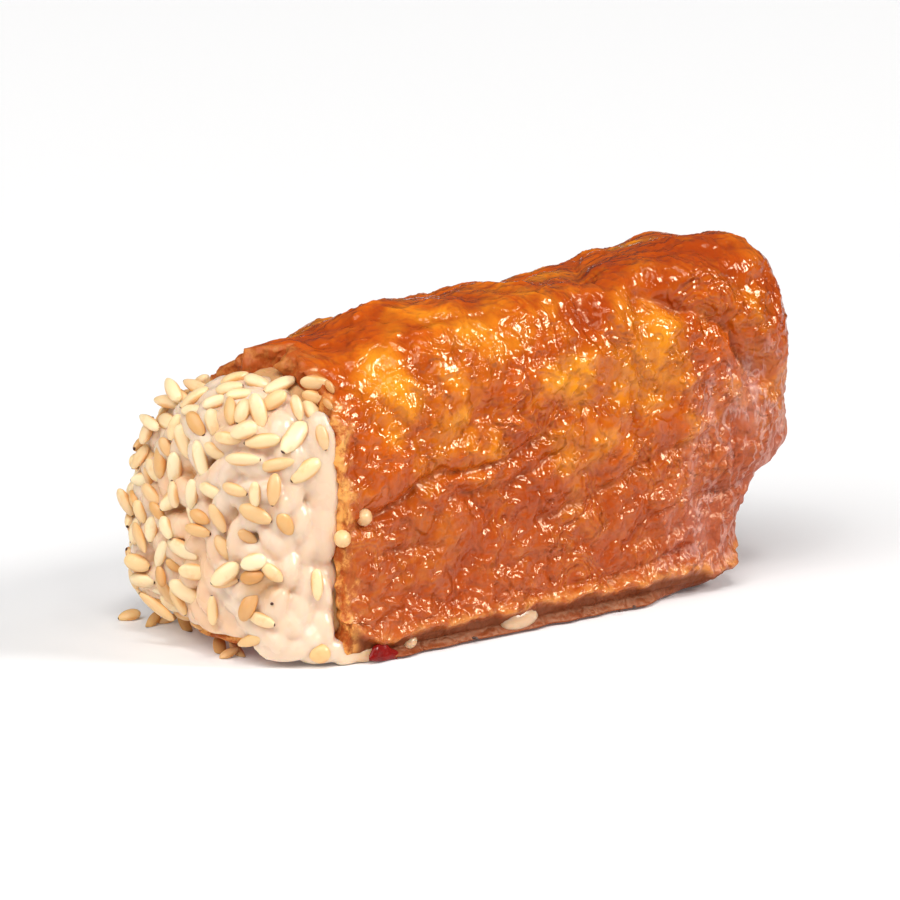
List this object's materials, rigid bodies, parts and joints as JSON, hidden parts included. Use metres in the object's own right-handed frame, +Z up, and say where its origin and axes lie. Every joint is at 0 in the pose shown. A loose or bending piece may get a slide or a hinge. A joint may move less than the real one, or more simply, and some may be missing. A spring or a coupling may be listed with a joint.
{
  "type": "inari sushi",
  "caption": "Inari sushi: a glossy, wrinkled simmered tofu pouch packed with rice that swells out of its open end under toasted sesame seeds.",
  "frame": {"origin": "on the table under the middle of the whole piece", "axes": "+X along the pouch from its open mouth to its closed back, +Y towards the side away from the seam edge, +Z up"},
  "size_m": [0.081, 0.0356, 0.0408],
  "materials": {
    "tofu_skin": "wet, glossy, finely wrinkled fried tofu, orange amber on top and redder below",
    "rice": "sticky, slightly translucent cooked rice",
    "sesame": "toasted, satin, cream to tan with dark tips",
    "red_fleck": "wet deep red shred"
  },
  "bodies": {
    "root": {"tofu_skin": "tofu_skin", "rice_filling": "rice"}
  },
  "joints": []
}
